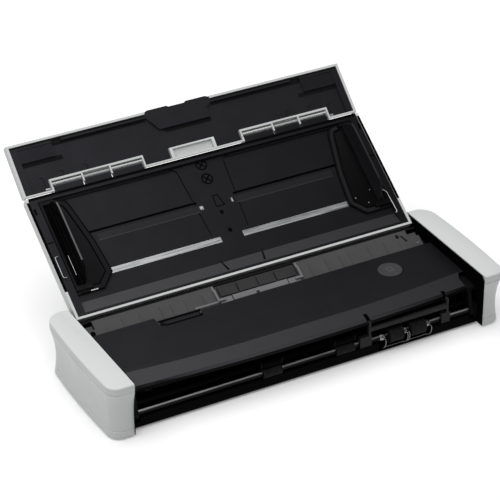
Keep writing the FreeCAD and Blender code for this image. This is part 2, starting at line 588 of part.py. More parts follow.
def tray():
    shell = rounded_tray_block().cut(box(-121.2, 121.2, 1.6, 86.6, -5.2, 1.0))
    for arm in both(box(NOTCH[0] - 0.3, NOTCH[1] + 0.3, 86.0, 89.0, -4.5, 1.0)):
        shell = shell.cut(arm)
    shell = shell.cut(rod(-124, 124, TRAY_AXIS, 1.5 + FIT))
    save("tray_shell", in_tray(shell))

    plate = box(-121.0, 121.0, 1.8, 86.4, -3.9, PANEL)
    band = profile([(1.8, -3.9), (1.8, -0.3), (3.4, -0.3), (11.2, PANEL), (11.2, -3.9)], -121.0, 121.0)
    borders = both(box(115.7, 121.0, 1.8, 86.4, -3.9, -0.3))
    top_border = box(-121.0, 121.0, 84.2, 86.4, -3.9, -0.3)
    arms = both(box(NOTCH[0] + 1.0, NOTCH[1] - 1.0, 84.2, FLAP_AXIS[0], -4.3, -0.5))
    noses = both(rod(NOTCH[0] + 1.0, NOTCH[1] - 1.0, FLAP_AXIS, 1.9))
    panel = join(plate, band, top_border, *(borders + arms + noses))
    arm_slots = []
    for x in RIB_X:
        arm_slots += both(box(x - 1.0, x + 1.0, 87.0, 95.0, -6.0, 1.0))
    panel = panel.cut(arm_slots)
    slots = both(box(13.5, 96.5, 55.2, 56.8, -4.5, 0)) + both(box(19.0, 103.0, 81.2, 82.8, -3.5, -2.0))
    slots += both(box(13.0, 97.0, 53.6, 55.2, -2.75, 0)) + both(box(18.5, 103.5, 79.6, 81.2, -2.75, 0))
    strips = both(box(8.0, 96.0, 24.8, 28.8, -3.0, -2.0))
    stops = [box(-12.7, -10.3, 50.2, 53.0, -3.9, PANEL), box(10.4, 11.6, 50.2, 53.2, -3.9, PANEL)]
    hinge_room = both(rod(118.0, 122.0, TRAY_AXIS, 2.2))
    groove = plan([(14.6, 13.0), (16.0, 13.0), (13.9, 4.4), (12.5, 4.4)], -2.9, 0.5)
    outline = plan([(22.0, 84.1), (18.7, 83.3), (16.8, 80.7), (13.0, 31.0), (13.9, 31.0), (17.7, 80.4)]
                   + [(19.4, 82.4), (22.0, 83.2)], -3.6, 0)
    panel = panel.cut(slots + strips + stops + hinge_room + both(groove) + both(outline))
    panel = panel.cut(both(rod(NOTCH[1] - 8.0, NOTCH[1] + 1, FLAP_AXIS, 1.0)))
    panel = join(panel.cut(post(0, 31.6, -4.5, 0, 1.0)), post(0, PINION_S, -5.2, -3.0, 1.5))
    liners = both(box(12.0, 98.0, 54.6, 57.4, -5.2, -5.0))
    save("tray_panel", *[in_tray(piece) for piece in [panel] + liners])
    steel = both(box(8.0, 96.0, 24.8, 28.8, -3.0, PANEL)) + stops
    save("guide_strips_and_stops", *[in_tray(piece) for piece in steel])
    save("tray_hinge_pins", *both(rod(119.8, INNER_X + CAP_WALL, HINGE, 1.5)))
    flap_pins = both(rod(NOTCH[1] - 8.0, NOTCH[1] + 5.0, FLAP_AXIS, 1.0))
    save("flap_hinge_pins", *[in_tray(pin) for pin in flap_pins])
    wires = []
    for x, s0, s1 in ((-118.6, 30.0, 45.0), (118.0, 11.0, 28.5)):
        bar = box(x - 0.4, x + 0.4, s0, s1, -0.3, 0.4)
        ends = [box(x - 0.4, x + 0.4, s, s + 0.8, -0.3, 0.4) for s in (s0, s1 - 0.8)]
        wires.append(join(bar, *ends))
    save("tray_wire_clips", *[in_tray(wire) for wire in wires])


def rack(direction, x_tab):
    """Toothed bar beside the pinion; direction is the side of the pinion it runs on."""
    step = math.pi * MODULE
    line = pitch_radius(PINION_TEETH)
    lean = MODULE * math.tan(math.radians(20))
    ring = [(x_tab, line + 3.0), (x_tab, line + 0.72)]
    middle = step * (round(-86.0 / step) + 0.5)
    while middle < 4.0:
        half = step / 4 - 0.05
        ring += [(middle - half - lean * 1.2, line + 0.72), (middle - half + lean * 0.9, line - 0.54)]
        ring += [(middle + half - lean * 0.9, line - 0.54), (middle + half + lean * 1.2, line + 0.72)]
        middle += step
    ring += [(6.0, line + 0.72), (6.0, line + 3.0)]
    bar = plan([(x, PINION_S + direction * s) for x, s in ring], *RACK_N)
    reach = (55.4, PINION_S + line + 3.0) if direction > 0 else (PINION_S - line - 3.0, 56.6)
    tab = box(x_tab, x_tab + 3.0, reach[0], reach[1], *RACK_N)
    return join(bar, tab)


def guides():
    # The left guide is drawn; the right one is its mirror image except for its rack.
    lip = plan([(-115.2, 16.1), (-96.2, 16.1), (-87.0, 25.6), (-88.2, 38.0), (-89.5, 49.5), (-92.6, 64.0),
                (-95.6, 77.6), (-96.6, 80.4), (-98.8, 82.2), (-102.5, 83.2), (-115.2, 83.6)], -2.4, -1.2)
    face = plan([(-106.0, 19.6), (-98.4, 19.6), (-91.0, 27.0), (-92.2, 38.6), (-93.5, 50.0), (-96.5, 64.0),
                 (-99.2, 76.0), (-100.8, 79.0), (-106.0, 80.0)], -2.2, 0.0)
    inner = plan([(-106.0, 20.5), (-98.8, 20.5), (-91.9, 27.4), (-93.1, 38.6), (-94.4, 50.0), (-97.4, 63.8),
                  (-100.0, 75.4), (-101.2, 78.0), (-106.0, 79.0)], -2.2, -1.5)
    lip = join(lip.cut(face), inner)
    outer_wall = box(-115.2, -113.8, 18.5, 83.6, -1.2, 0.2)
    end_block = plan([(-115.2, 18.5), (-103.6, 18.5), (-105.0, 21.7), (-115.2, 21.7)], -1.2, 0.2)
    top_block = box(-115.2, -105.6, 81.0, 83.4, -1.2, 0.2)
    tabs = [box(-95.5, -92.5, 55.4, 56.6, RACK_N[1], -2.4), box(-102.0, -99.0, 81.4, 82.6, -3.4, -2.4)]
    guide = join(lip, outer_wall, end_block, top_block, *tabs)
    pivot_x = -GUIDE_X - 0.65
    axis = Vec(0, 1, 0)
    guide = guide.cut(Part.makeCylinder(0.35 + FIT, 66.0, Vec(pivot_x, 17.0, -0.4), axis))
    save("left_guide", in_tray(guide))
    save("right_guide", in_tray(mirrored(guide)))
    low = [(22.1, -0.4), (22.1, 4.0), (28.6, 11.6), (32.0, 12.6)]
    low += [(72.0, 12.6), (76.0, 11.6), (80.6, 4.0), (80.6, -0.4)]
    fin = profile(low, -GUIDE_X - 1.3, -GUIDE_X)
    root = Part.makeCylinder(0.75, 58.5, Vec(pivot_x, 22.1, -0.4), axis)
    fin = join(fin, root, Part.makeCylinder(0.35, 63.0, Vec(pivot_x, 19.3, -0.4), axis))
    window = profile([(29.0, 3.0), (32.0, 9.6), (70.0, 9.6), (73.0, 3.0)], -GUIDE_X - 0.5, -GUIDE_X + 1.0)
    outside = window.copy()
    outside.translate(Vec(-1.3, 0, 0))
    fin = fin.cut(outside)
    save("left_fin", in_tray(fin))
    save("right_fin", in_tray(mirrored(fin)))
    save("left_rack", in_tray(rack(1, -95.5)))
    save("right_rack", in_tray(mirrored(rack(-1, -95.5))))
    ring = [(u, PINION_S + v) for u, v in tooth_ring(PINION_TEETH, math.pi / 2)]
    save("guide_pinion", in_tray(plan(ring, *RACK_N).cut(post(0, PINION_S, -6, -3, 1.5 + FIT))))


# ---- flap ---------------------------------------------------------------------------


def flap():
    rim = 1.2
    low = FLAP_LIP + rim
    line = 4.7
    floor = -1.3
    shell = box(-TRAY_X, TRAY_X, FLAP_LIP, FLAP_TOP, -FLAP_HALF, FLAP_HALF)
    rear_edges = [e for e in shell.Edges if abs(e.CenterOfMass.z + FLAP_HALF) < 0.01 and e.Length > 200]
    shell = shell.makeFillet(1.2, rear_edges)
    wells = [box(-121.2, 121.2, line + 1.1, 32.2, floor, 3.0), box(-14.3, 14.3, low, line, 0.6, 3.0)]
    wells += both(box(NOTCH[1] + rim, 121.2, low, line + rim, floor, 3.0))
    wells += both(box(16.5, NOTCH[0] - rim, low, line + rim, floor, 3.0))
    wells += both(box(NOTCH[0] - 0.1, NOTCH[1] + 0.1, 3.3, line - 0.3, -1.4, 3.0))
    wells += both(box(NOTCH[0] - 0.1, NOTCH[1] + 0.1, 0.0, 3.3, 1.7, 3.0))
    wells += both(box(RIB_X[0], RIB_X[1], 0.0, line, 0.3, 3.0))
    under = [box(rim - NOTCH[0], NOTCH[0] - rim, FLAP_LIP - 0.1, low, -3.0, 1.0)]
    under += both(box(NOTCH[1] + rim, 121.2, FLAP_LIP - 0.1, low, -3.0, 1.0))
    shell = shell.cut(wells + under)
    shell = shell.cut(both(box(NOTCH[0], NOTCH[1], FLAP_LIP - 1, 2.3, -3.0, 3.0)))
    ribs = []
    for x in RIB_X:
        ribs += both(box(x - 0.55, x + 0.55, -0.9, line + 0.5, 0.2, FLAP_HALF))
    shell = join(shell, *ribs)
    shell = shell.cut(both(rod(NOTCH[1] - 1, NOTCH[1] + 5.2, (0, 0), 1.0 + FIT)))
    shell = shell.cut(box(-24.0, 24.0, 32.0, 34.0, 0.1, 3.0))
    save("flap_shell", in_flap(shell))

    sheet = box(-121.0, 121.0, line + 1.3, 32.0, floor, 0.3)
    fields = both(box(NOTCH[1] + 1.4, 121.0, low + 0.2, line + 2.0, floor, 0.3))
    fields += both(box(16.7, NOTCH[0] - 1.4, low + 0.2, line + 2.0, floor, 0.3))
    ledge = box(-121.0, 121.0, 29.6, 32.0, floor, 1.9)
    ledge = ledge.cut(both(post(88.5, 32.6, 0.3, 3.0, 4.2)))
    raised = both(box(92.0, 121.0, 20.5, 30.0, floor, 1.4))
    raised += both(box(116.4, 121.0, low + 0.2, 32.0, floor, 1.9))
    tab = plan([(-17.5, 20.0), (20.0, 20.0), (20.0, 27.0), (24.0, 29.6), (24.0, 33.4), (21.5, 34.5)]
               + [(7.0, 34.5), (6.0, 33.6), (-6.0, 33.6), (-7.0, 34.5), (-21.5, 34.5), (-24.0, 33.4)]
               + [(-24.0, 29.6), (-20.5, 24.5)], 0.2, 1.9)
    panel = join(sheet, ledge, tab, *(fields + raised))
    panel = panel.cut(both(rod(NOTCH[1], NOTCH[1] + 5.4, (0, 0), 1.4)))
    save("flap_panel", in_flap(panel))


def build():
    end_caps()
    base_covers()
    lower_frame()
    feed_deck()
    sensors()
    drive_train()
    card_parts()
    top_unit()
    tray()
    guides()
    flap()


build()
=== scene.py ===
import json
import math

import bmesh
import bpy
from mathutils import Matrix, Vector


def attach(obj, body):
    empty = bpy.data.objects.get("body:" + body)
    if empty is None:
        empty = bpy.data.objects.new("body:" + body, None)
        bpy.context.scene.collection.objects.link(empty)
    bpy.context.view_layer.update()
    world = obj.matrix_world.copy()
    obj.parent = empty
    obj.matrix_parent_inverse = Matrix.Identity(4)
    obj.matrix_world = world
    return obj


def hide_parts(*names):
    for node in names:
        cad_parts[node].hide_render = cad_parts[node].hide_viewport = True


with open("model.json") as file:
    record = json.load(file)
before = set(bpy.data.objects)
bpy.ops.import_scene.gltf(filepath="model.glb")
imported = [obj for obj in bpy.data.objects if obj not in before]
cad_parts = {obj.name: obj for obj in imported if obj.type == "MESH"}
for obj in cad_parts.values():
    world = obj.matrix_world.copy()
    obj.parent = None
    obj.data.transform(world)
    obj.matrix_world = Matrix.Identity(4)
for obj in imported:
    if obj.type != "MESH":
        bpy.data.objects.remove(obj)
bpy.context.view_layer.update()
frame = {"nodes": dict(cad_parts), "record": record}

# Looks for the sheet fed document scanner. Metres, in the CAD frame: +Z up, front towards -Y.

MM = 0.001

NODE_BODY = {node: body for body, nodes in frame["record"]["behaviour"]["bodies"].items() for node in nodes}
NODE_SLOT = {row["node"]: row["material_slot"] for row in frame["record"]["subparts"]}

# ---- materials ----------------------------------------------------------------------

# Half width of the painted falloff of light along X, in metres.
FALLOFF_REACH = 0.12


class Graph:
    """Small helper that adds and joins shader nodes of one material."""

    def __init__(self, name):
        self.material = bpy.data.materials.new(name)
        self.material.use_nodes = True
        self.tree = self.material.node_tree
        self.tree.nodes.clear()
        self.shader = self.add("ShaderNodeBsdfPrincipled")
        out = self.add("ShaderNodeOutputMaterial")
        self.link(self.shader.outputs[0], out.inputs[0])
        self.place = self.add("ShaderNodeTexCoord").outputs["Object"]

    def add(self, kind, **settings):
        node = self.tree.nodes.new(kind)
        for key, value in settings.items():
            setattr(node, key, value)
        return node

    def link(self, source, target):
        self.tree.links.new(source, target)

    def noise(self, scale, detail=4.0, roughness=0.6, stretch=None):
        node = self.add("ShaderNodeTexNoise")
        node.inputs["Scale"].default_value = scale
        node.inputs["Detail"].default_value = detail
        node.inputs["Roughness"].default_value = roughness
        if stretch:
            mapping = self.add("ShaderNodeMapping")
            mapping.inputs["Scale"].default_value = stretch
            self.link(self.place, mapping.inputs["Vector"])
            self.link(mapping.outputs[0], node.inputs["Vector"])
        else:
            self.link(self.place, node.inputs["Vector"])
        return node.outputs["Fac"]

    def spread(self, source, low, high, start=0.3, end=0.7):
        """Maps a mask from start..end to low..high."""
        node = self.add("ShaderNodeMapRange")
        for index, value in enumerate((start, end, low, high)):
            node.inputs[index + 1].default_value = value
        self.link(source, node.inputs[0])
        return node.outputs[0]

    def mix(self, factor, first, second):
        node = self.add("ShaderNodeMix", data_type="RGBA")
        self.link(factor, node.inputs["Factor"])
        for index, value in ((6, first), (7, second)):
            if isinstance(value, tuple):
                node.inputs[index].default_value = (*value, 1.0)
            else:
                self.link(value, node.inputs[index])
        return node.outputs[2]

    def edges(self, radius):
        """Mask that is 1 on convex and concave edges about as wide as the radius."""
        soft = self.add("ShaderNodeBevel", samples=4)
        soft.inputs["Radius"].default_value = radius
        flat = self.add("ShaderNodeNewGeometry").outputs["Normal"]
        dot = self.add("ShaderNodeVectorMath", operation="DOT_PRODUCT")
        self.link(soft.outputs[0], dot.inputs[0])
        self.link(flat, dot.inputs[1])
        return self.spread(dot.outputs["Value"], 1.0, 0.0, 0.85, 0.995)

    def lean(self, normal, axis, start, end):
        """Mask that is 1 where a normal lies along the axis."""
        dot = self.add("ShaderNodeVectorMath", operation="DOT_PRODUCT")
        self.link(normal, dot.inputs[0])
        dot.inputs[1].default_value = axis
        return self.spread(dot.outputs["Value"], 0.0, 1.0, start, end)

    def bump(self, height, strength, distance):
        node = self.add("ShaderNodeBump")
        node.inputs["Strength"].default_value = strength
        node.inputs["Distance"].default_value = distance
        self.link(height, node.inputs["Height"])
        self.link(node.outputs[0], self.shader.inputs["Normal"])


def plastic(name, base, rough=0.48, specular=0.18, spread=0.12, sheen_and_wear_gain=1.8, grain=0.25, lean_shading=(), light_falloff=None):
    """Moulded plastic: mottled colour, fine grain, and edges lightened by a painted highlight broken up
    like rubbed wear.

    Each entry of tilts recolours faces that lean one way, painting light and shade into the colour; fade is
    the share of colour and shine left at the right end, a painted falloff of light.
    """
    g = Graph(name)
    dark = tuple(v * (1 - spread) for v in base)
    light = tuple(v * (1 + spread) for v in base)
    colour = g.mix(g.spread(g.noise(55.0), 0.0, 1.0), dark, light)
    shine = g.add("ShaderNodeValue").outputs[0]
    shine.default_value = specular
    # Faces that lean along each axis take another colour and shine: painted light and shade.
    for axis, start, end, painted_colour, shine_there in lean_shading:
        mask = g.lean(g.add("ShaderNodeTexCoord").outputs["Normal"], axis, start, end)
        colour = g.mix(mask, colour, painted_colour)
        blend = g.add("ShaderNodeMix", data_type="FLOAT")
        g.link(mask, blend.inputs[0])
        g.link(shine, blend.inputs[2])
        blend.inputs[3].default_value = shine_there
        shine = blend.outputs[0]
    # Edges lightened as a painted highlight, broken up by noise like rubbed wear.
    edge_sheen_and_wear = g.add("ShaderNodeMath", operation="MULTIPLY")
    g.link(g.edges(0.0004), edge_sheen_and_wear.inputs[0])
    g.link(g.spread(g.noise(240.0, 6.0), 0.1, 0.8, 0.35, 0.65), edge_sheen_and_wear.inputs[1])
    edge = tuple(min(0.9, v * sheen_and_wear_gain + 0.004) for v in base)
    colour = g.mix(edge_sheen_and_wear.outputs[0], colour, edge)
    # Colour and shine dimmed towards the right end: a painted falloff of light.
    if light_falloff:
        split = g.add("ShaderNodeSeparateXYZ")
        g.link(g.place, split.inputs[0])
        left = g.spread(split.outputs[0], 1.0, light_falloff, -FALLOFF_REACH, FALLOFF_REACH)
        dim = g.add("ShaderNodeVectorMath", operation="SCALE")
        g.link(colour, dim.inputs[0])
        g.link(left, dim.inputs["Scale"])
        colour = dim.outputs[0]
        less = g.add("ShaderNodeMath", operation="MULTIPLY")
        g.link(shine, less.inputs[0])
        g.link(left, less.inputs[1])
        shine = less.outputs[0]
    g.link(colour, g.shader.inputs["Base Color"])
    g.link(g.spread(g.noise(130.0), rough - 0.05, rough + 0.06), g.shader.inputs["Roughness"])
    g.link(shine, g.shader.inputs["Specular IOR Level"])
    g.bump(g.noise(2600.0, 2.0), grain, 0.00003)
    return g.material


def metal(name, dark, light, rough, stretch, scale=900.0, gleam=None):
    """Ground metal with fine lines; gleam is the axis of a painted highlight: faces that lean along it keep
    their full colour, all others are painted near black as shade.
    """
    g = Graph(name)
    lines = g.noise(scale, 3.0, 0.5, stretch)
    stains = g.noise(70.0)
    base = g.mix(g.spread(lines, 0.0, 1.0), dark, light)
    spots = g.spread(stains, 0.0, 0.35, 0.5, 0.75)
    colour = g.mix(spots, base, tuple(v * 0.6 for v in dark))
    # Painted highlight on faces that lean along the gleam axis, painted shade on all others.
    if gleam:
        mask = g.lean(g.add("ShaderNodeNewGeometry").outputs["Normal"], gleam, 0.9, 0.98)
        colour = g.mix(mask, tuple(v * 0.05 for v in dark), colour)
    g.link(colour, g.shader.inputs["Base Color"])
    g.shader.inputs["Metallic"].default_value = 1.0
    g.link(g.spread(lines, rough - 0.08, rough + 0.1), g.shader.inputs["Roughness"])
    g.bump(lines, 0.12, 0.00002)
    return g.material


def rubber(name):
    g = Graph(name)
    dust = g.spread(g.noise(420.0, 5.0), 0.0, 1.0, 0.4, 0.75)
    g.link(g.mix(dust, (0.004, 0.004, 0.004), (0.011, 0.011, 0.011)), g.shader.inputs["Base Color"])
    g.link(g.spread(g.noise(300.0), 0.62, 0.85), g.shader.inputs["Roughness"])
    g.shader.inputs["Specular IOR Level"].default_value = 0.12
    g.bump(g.noise(3200.0, 3.0), 0.35, 0.00005)
    return g.material


def glass(name):
    g = Graph(name)
    g.shader.inputs["Base Color"].default_value = (0.86, 0.93, 0.92, 1.0)
    g.shader.inputs["Transmission Weight"].default_value = 0.9
    g.shader.inputs["IOR"].default_value = 1.5
    g.link(g.spread(g.noise(160.0), 0.02, 0.1), g.shader.inputs["Roughness"])
    return g.material


def circuit(name):
    """Solder mask with copper tracks showing through as lighter lines."""
    g = Graph(name)
    tracks = g.add("ShaderNodeTexVoronoi", feature="DISTANCE_TO_EDGE")
    tracks.inputs["Scale"].default_value = 260.0
    g.link(g.place, tracks.inputs["Vector"])
    lines = g.spread(tracks.outputs["Distance"], 1.0, 0.0, 0.02, 0.06)
    g.link(g.mix(lines, (0.012, 0.09, 0.035), (0.03, 0.17, 0.07)), g.shader.inputs["Base Color"])
    g.link(g.spread(g.noise(500.0), 0.3, 0.45), g.shader.inputs["Roughness"])
    g.bump(lines, 0.3, 0.00004)
    return g.material


def grey(level, blue=1.06):
    return (level, level, level * blue)


FORWARD = (0.0, -1.0, 0.0)
UPWARD = (0.0, 0.0, 1.0)
# Cover faces leaning forward: the gentle bevel lighter as a painted reflection, the steeper nose and the
# front darker as painted shade.
COVER_LEAN_SHADING = ((FORWARD, 0.13, 0.22, grey(0.041, 1.1), 0.13), (FORWARD, 0.5, 0.68, grey(0.008, 1.1), 0.04),
               (FORWARD, 0.85, 0.95, grey(0.003), 0.02))

MATERIALS = {
    # White shell: faces that lean upward are lighter, painted light on the tops.
    "white_shell": plastic("white_shell", (0.452, 0.465, 0.462), 0.4, 0.35, 0.02, 1.08, 0.1,
                           ((UPWARD, 0.3, 0.9, (0.64, 0.655, 0.65), 0.35),)),
    "black_plastic": plastic("black_plastic", grey(0.012), specular=0.12),
    # Cover: the lean shading above, and darker towards the right as a painted falloff of light.
    "cover_plastic": plastic("cover_plastic", grey(0.0118, 1.2), 0.42, 0.13, lean_shading=COVER_LEAN_SHADING, light_falloff=0.56),
    "button_plastic": plastic("button_plastic", grey(0.045, 1.1), 0.45, 0.15),
    "deck_plastic": plastic("deck_plastic", grey(0.066, 1.02), 0.55, 0.15, 0.06, 1.4),
    "grey_plastic": plastic("grey_plastic", grey(0.165, 1.04), 0.5, 0.2, 0.06, 1.3),
    "gear_plastic": plastic("gear_plastic", (0.62, 0.61, 0.56), 0.4, 0.4, 0.05, 1.1, 0.1),
    "sensor_plastic": plastic("sensor_plastic", grey(0.005), 0.55, 0.1),
    "steel": metal("steel", (0.3, 0.305, 0.31), (0.52, 0.53, 0.54), 0.3, (0.04, 1.0, 1.0)),
    "dark_steel": metal("dark_steel", (0.07, 0.07, 0.072), (0.16, 0.16, 0.165), 0.36, (0.04, 1.0, 1.0)),
    "motor_metal": metal("motor_metal", (0.3, 0.31, 0.32), (0.46, 0.47, 0.48), 0.35, (0.05, 1.0, 1.0)),
    "brass": metal("brass", (0.5, 0.37, 0.15), (0.74, 0.58, 0.3), 0.3, (0.05, 1.0, 1.0)),
    "rubber": rubber("rubber"),
    "clear_glass": glass("clear_glass"),
    "circuit_board": circuit("circuit_board"),
}
# Near black for print, and for painted shade on parts and sheets that sit in shadow.
DEEP_BLACK = plastic("deep_black", grey(0.0012, 1.02), 0.55, 0.02)
# Darker than the plain black plastic: painted shade on the frames, which are seen deep in the recesses.
FRAME_BLACK = plastic("frame_black", grey(0.0035), 0.5, 0.05)
# Tray panel black: the upward-leaning lower band lighter as a painted reflection, and darker towards the
# right as a painted falloff of light.
TRAY_BLACK = plastic("tray_black", grey(0.0138, 1.2), 0.5, 0.12, light_falloff=0.5,
                     lean_shading=((UPWARD, 0.89, 0.935, grey(0.055, 1.08), 0.12),))
# Flap black: darker towards the right, a painted falloff of light.
FLAP_BLACK = plastic("flap_black", grey(0.0195, 1.2), 0.5, 0.11, light_falloff=0.66)
GUIDE_BLACK = plastic("guide_black", grey(0.0085, 1.15), 0.48, 0.06)
# The right guide's black is a darker copy of the left guide's: painted shade.
RIGHT_GUIDE_SHADE = plastic("right_guide_shade", grey(0.0032, 1.15), 0.48, 0.04)
# The left fin's black is darker than the right fin's: painted shade on its outer face.
FIN_SHADE = plastic("fin_shade", grey(0.0028, 1.1), 0.5, 0.03)
# The right fin's black, also used for the painted light along the right guide's rim.
FIN_BLACK = plastic("fin_black", grey(0.012, 1.15), 0.45, 0.08)
# Grey for the painted highlight along the left fin's top edge.
FIN_EDGE_HIGHLIGHT = plastic("fin_edge_highlight", grey(0.1, 1.08), 0.45)
# Lighter black for the bands below the tray's long slots, painted light on their steps; the next is lighter
# still for the ridges and the right fin's top edge, a painted highlight. Both darker towards the right, a
# painted falloff of light.
STEP_PAINTED_LIGHT = plastic("step_painted_light", grey(0.0215, 1.18), 0.5, 0.12, light_falloff=0.55)
RIDGE_HIGHLIGHT = plastic("ridge_highlight", grey(0.042, 1.12), 0.5, 0.12, light_falloff=0.55)
COVER_PLAIN = plastic("cover_plain", grey(0.0115, 1.2), 0.42, 0.12)
CARD_BLACK = plastic("card_black", grey(0.012, 1.1), 0.48, 0.12)
BUTTON_MARK = plastic("button_mark", grey(0.078, 1.08), 0.5)
WIRE_STEEL = metal("wire_steel", (0.13, 0.13, 0.132), (0.3, 0.3, 0.305), 0.34, (0.04, 1.0, 1.0))
# Eject shaft steel: painted highlight on faces that lean up and forward, near black elsewhere as painted
# shade.
SHAFT_STEEL = metal("shaft_steel", (0.2, 0.2, 0.203), (0.38, 0.38, 0.385), 0.36, (0.04, 1.0, 1.0),
                    gleam=(0.0, -0.57, 0.82))
COLLAR_STEEL = metal("collar_steel", (0.16, 0.16, 0.162), (0.36, 0.36, 0.365), 0.24, (0.05, 1.0, 1.0))
BLOCK_BLACK = plastic("block_black", grey(0.032), 0.5, 0.12)
# Black for printed marks, and for painted shade on the flap.
MARK_AND_SHADE_BLACK = plastic("mark_and_shade_black", grey(0.006), 0.6, 0.05)
# The bottom cover, eject idlers and pinch rollers take the near black as painted shade.
LOOKS = {
    "bottom_cover": DEEP_BLACK, "top_frame": FRAME_BLACK, "lower_frame": FRAME_BLACK,
    "tray_panel": TRAY_BLACK, "flap_panel": FLAP_BLACK, "left_guide": GUIDE_BLACK,
    "right_guide": RIGHT_GUIDE_SHADE, "left_fin": FIN_SHADE, "right_fin": FIN_BLACK,
    "eject_shaft": SHAFT_STEEL, "eject_idlers": DEEP_BLACK, "pinch_rollers": DEEP_BLACK,
    "card_guide": CARD_BLACK, "separation_housing": BLOCK_BLACK,
}

# ---- CAD pieces with softened edges -------------------------------------------------

BEVELS = {
    "cap_tops": 0.5, "left_cap_side": 0.35, "right_cap_side": 0.35, "cap_feet": 0.35, "tray_shell": 0.3,
    "flap_shell": 0.3, "top_cover": 0.45, "bottom_cover": 0.35, "rear_cover": 0.3, "tray_panel": 0.18,
    "flap_panel": 0.25, "left_guide": 0.15, "right_guide": 0.15, "left_fin": 0.2, "right_fin": 0.2,
    "feed_deck": 0.12, "card_guide": 0.3, "separation_housing": 0.25, "paper_entry_plates": 0.2,
    "start_button": 0.4, "rubber_feet": 0.3, "eject_rollers": 0.35, "card_rollers": 0.45,
    "register_rollers": 0.35, "feed_roller": 0.5, "top_frame": 0.25,
    "lower_frame": 0.25, "drive_motor": 0.5,
    "guide_strips_and_stops": 0.12, "main_board": 0.1, "usb_socket": 0.15, "power_jack": 0.15,
}


CRISP = ("tray_panel", "top_cover", "flap_panel")


def soften(node, width):
    """Copy of a CAD piece with welded faces and rounded edges, shown in its place."""
    source = frame["nodes"][node]
    mesh = source.data.copy()
    mesh.materials.clear()
    work = bmesh.new()
    work.from_mesh(mesh)
    bmesh.ops.remove_doubles(work, verts=work.verts, dist=2e-6)
    bmesh.ops.dissolve_limit(work, angle_limit=math.radians(0.6), verts=work.verts, edges=work.edges)
    work.to_mesh(mesh)
    work.free()
    mesh.polygons.foreach_set("use_smooth", [True] * len(mesh.polygons))
    mesh.set_sharp_from_angle(angle=math.radians(9 if node in CRISP else 32))
    piece = bpy.data.objects.new(node + "_shell", mesh)
    bpy.context.collection.objects.link(piece)
    edge = piece.modifiers.new("edge", "BEVEL")
    edge.width = width * MM
    edge.segments = 2
    edge.limit_method = "ANGLE"
    edge.angle_limit = math.radians(34)
    edge.harden_normals = True
    finish_piece(piece, NODE_BODY[node], NODE_SLOT[node], LOOKS.get(node))
    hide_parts(node)
    return piece


def finish_piece(piece, body, slot, look=None):
    piece.data.materials.clear()
    piece.data.materials.append(look or MATERIALS[slot])
    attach(piece, body)


def dress_nodes():
    for node, body in NODE_BODY.items():
        if node in BEVELS:
            soften(node, BEVELS[node])
            continue
        source = frame["nodes"][node]
        look = LOOKS.get(node, MATERIALS[NODE_SLOT[node]])
        if not source.material_slots:
            source.data.materials.append(look)
        for row in source.material_slots:
            row.material = look


# ---- extra pieces -------------------------------------------------------------------

TRAY_ORIGIN = Vector((0.0, 37.2, 35.96))
TRAY_ANGLE = math.radians(34.1)
FLAP_AXIS = (91.9, -2.4)
FLAP_ANGLE = math.radians(42.6)
EJECT = (-37.3, 10.4)
PANEL_N = -2.5
GUIDE_N = -1.2
FIN_X = 108.1
COVER_Z = 31.25
DECK_START = (8.0, 20.26)
DECK_RISE = 0.557


def turned(angle, origin, x, s, n):
    """Point (x, s, n) of a plane turned about X, in millimetres of the frame."""
    return Vector((x, origin[1] + s * math.cos(angle) - n * math.sin(angle),
                   origin[2] + s * math.sin(angle) + n * math.cos(angle)))


def tray_at(x, s, n):
    return turned(TRAY_ANGLE, TRAY_ORIGIN, x, s, n)


def flap_at(x, s, n):
    return turned(FLAP_ANGLE, tray_at(0.0, *FLAP_AXIS), x, s, n)


def add_piece(name, points, faces, body, slot, look=None, smooth=True):
    mesh = bpy.data.meshes.new(name)
    mesh.from_pydata([tuple(Vector(p) * MM) for p in points], [], faces)
    work = bmesh.new()
    work.from_mesh(mesh)
    bmesh.ops.recalc_face_normals(work, faces=work.faces)
    work.to_mesh(mesh)
    work.free()
    if smooth:
        mesh.polygons.foreach_set("use_smooth", [True] * len(mesh.polygons))
        mesh.set_sharp_from_angle(angle=math.radians(40))
    piece = bpy.data.objects.new(name, mesh)
    bpy.context.collection.objects.link(piece)
    finish_piece(piece, body, slot, look)
    return piece


def rings_to_faces(count, sides, start=0):
    """Quads between count rings of sides points, with both ends capped."""
    faces = []
    for k in range(count - 1):
        for i in range(sides):
            j = (i + 1) % sides
            low = start + k * sides
            faces.append((low + i, low + j, low + sides + j, low + sides + i))
    faces.append(tuple(start + i for i in reversed(range(sides))))
    faces.append(tuple(start + (count - 1) * sides + i for i in range(sides)))
    return faces


def tube_along(path, radius, sides=10):
    """Points and faces of a round wire along a list of Vectors."""
    points = []
    normal = None
    for k, here in enumerate(path):
        ahead = path[min(k + 1, len(path) - 1)] - path[max(k - 1, 0)]
        ahead.normalize()
        if normal is None:
            normal = ahead.orthogonal().normalized()
        normal = (normal - ahead * normal.dot(ahead)).normalized()
        side = ahead.cross(normal)
        for i in range(sides):
            turn = 2 * math.pi * i / sides
            points.append(here + (normal * math.cos(turn) + side * math.sin(turn)) * radius)
    return points, rings_to_faces(len(path), sides)


def rounded_path(corners, radius, steps=6):
    """Corner points joined by straight runs with rounded bends."""
    path = [Vector(corners[0])]
    for before, corner, after in zip(corners, corners[1:], corners[2:]):
        corner = Vector(corner)
        into = (Vector(before) - corner).normalized()
        out = (Vector(after) - corner).normalized()
        for k in range(steps + 1):
            u = k / steps
            path.append(corner + into * radius * (1 - u) ** 2 + out * radius * u ** 2)
    path.append(Vector(corners[-1]))
    return path


